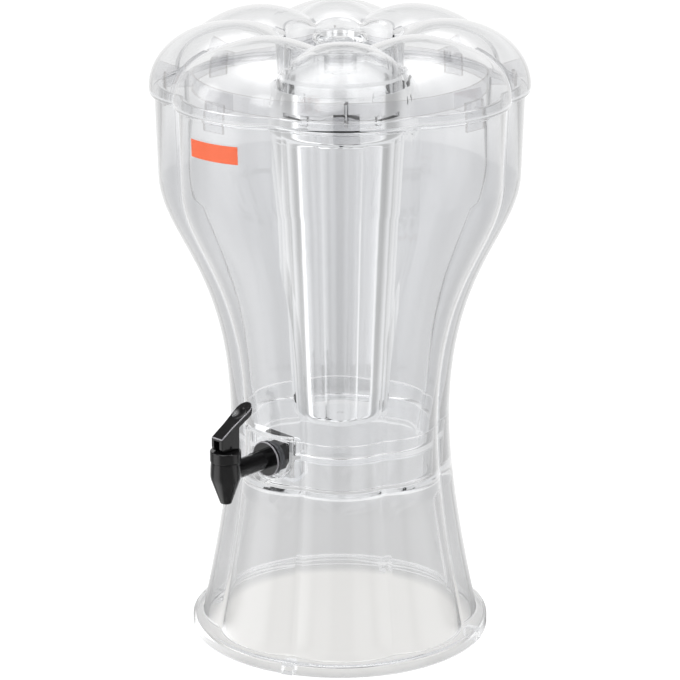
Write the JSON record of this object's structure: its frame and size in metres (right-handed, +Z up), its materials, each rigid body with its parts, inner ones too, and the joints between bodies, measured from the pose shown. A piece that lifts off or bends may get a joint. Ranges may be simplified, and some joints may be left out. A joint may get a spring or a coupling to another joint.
{
  "type": "drink dispenser",
  "caption": "Clear plastic drink dispenser: lobed goblet reservoir on a flared pedestal, with a petal lid, a hanging ice core and a black lever tap.",
  "frame": {"origin": "middle of the pedestal's foot, on the table under the feet", "axes": "+Z up along the dispenser's axis, -Y out along the tap, +X to the right of someone who faces the tap"},
  "size_m": [0.312, 0.312, 0.525],
  "materials": {
    "clear_plastic": "polished clear",
    "clear_soft_pad": "soft clear",
    "black_plastic": "satin black",
    "black_seal": "matte",
    "grey_plastic": "matte",
    "silicone": "milky",
    "steel": "bright"
  },
  "bodies": {
    "base": {"base_pedestal": "clear_plastic", "base_foot_1": "clear_soft_pad", "base_foot_2": "clear_soft_pad", "base_foot_3": "clear_soft_pad", "base_foot_4": "clear_soft_pad"},
    "tank": {"reservoir": "clear_plastic", "tap_body": "black_plastic", "tap_bonnet": "black_plastic", "outer_washer": "black_seal", "inner_washer": "black_seal", "lock_nut": "black_plastic", "bonnet_seal": "black_seal", "valve_spring": "steel"},
    "plunger": {"valve_plunger": "grey_plastic", "seat_cup": "silicone"},
    "lever": {"tap_lever": "black_plastic", "lever_pin": "steel"},
    "cover": {"lid": "clear_plastic", "lid_knob": "clear_plastic"},
    "core": {"ice_core": "clear_plastic"}
  },
  "joints": [
    {"name": "reservoir_lift", "type": "slide", "parent": "base", "child": "tank", "axis": [0, 0, 1], "range_m": [0, 0.06]},
    {"name": "lid_lift", "type": "slide", "parent": "tank", "child": "cover", "axis": [0, 0, 1], "range_m": [0, 0.32]},
    {"name": "core_twist", "type": "hinge", "parent": "cover", "child": "core", "pos_m": [0, 0, 0.45], "axis": [0, 0, 1], "range_deg": [0, 45]},
    {"name": "plunger_slide", "type": "slide", "parent": "tank", "child": "plunger", "axis": [0, 0, 1], "range_m": [0, 0.00364], "stiffness_N_per_m": 1200, "springref_m": -0.004, "deforming": ["valve_spring"]},
    {"name": "lever_tilt", "type": "hinge", "parent": "plunger", "child": "lever", "pos_m": [0, -0.1365, 0.19463], "axis": [1, 0, 0], "range_deg": [0, 40]}
  ],
  "couplings": [
    {"joint": "lever_tilt", "follows": "plunger_slide", "rad_per_m": 191.81}
  ]
}
